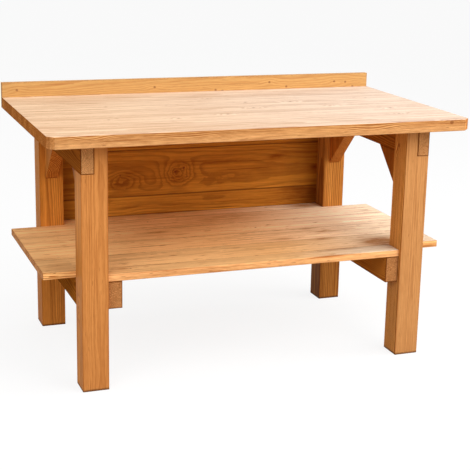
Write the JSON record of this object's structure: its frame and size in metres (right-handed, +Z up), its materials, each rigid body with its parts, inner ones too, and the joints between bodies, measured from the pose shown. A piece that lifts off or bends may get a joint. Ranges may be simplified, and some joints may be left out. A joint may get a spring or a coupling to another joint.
{
  "type": "wooden workbench",
  "caption": "Solid wood workbench with a thick worktop and rear upstand on square legs with corner braces, a low storage shelf past the legs and a boarded back.",
  "frame": {"origin": "on the floor, under the middle of the bench's bounding box", "axes": "+X along the bench to the user's right, -Y towards the user at the front edge, +Z up"},
  "size_m": [1.5, 0.85, 0.94],
  "materials": {
    "worktop_pine": "sanded, oiled",
    "upstand_pine": "sanded, oiled",
    "frame_pine": "planed, oiled",
    "shelf_pine": "planed, oiled",
    "back_pine": "planed, oiled",
    "dowel_wood": "fluted, unfinished",
    "screw_steel": "dull zinc"
  },
  "bodies": {
    "root": {"worktop": "worktop_pine", "upstand_board": "upstand_pine", "left_front_leg": "frame_pine", "left_rear_leg": "frame_pine", "left_top_bearer": "frame_pine", "left_front_brace": "frame_pine", "left_rear_brace": "frame_pine", "left_shelf_bearer": "frame_pine", "left_side_stretcher": "frame_pine", "right_front_leg": "frame_pine", "right_rear_leg": "frame_pine", "right_top_bearer": "frame_pine", "right_front_brace": "frame_pine", "right_rear_brace": "frame_pine", "right_shelf_bearer": "frame_pine", "right_side_stretcher": "frame_pine", "shelf_front_board": "shelf_pine", "shelf_rear_board": "shelf_pine", "shelf_long_board_1": "shelf_pine", "shelf_long_board_2": "shelf_pine", "shelf_long_board_3": "shelf_pine", "shelf_long_board_4": "shelf_pine", "back_lower_board": "back_pine", "back_middle_board": "back_pine", "back_upper_board": "back_pine", "worktop_screws": "screw_steel", "upstand_screws": "screw_steel", "shelf_screws": "screw_steel", "back_board_screws": "screw_steel", "bearer_lap_dowels": "dowel_wood", "brace_dowels": "dowel_wood", "shelf_bearer_dowels": "dowel_wood", "stretcher_dowels": "dowel_wood"}
  },
  "joints": []
}
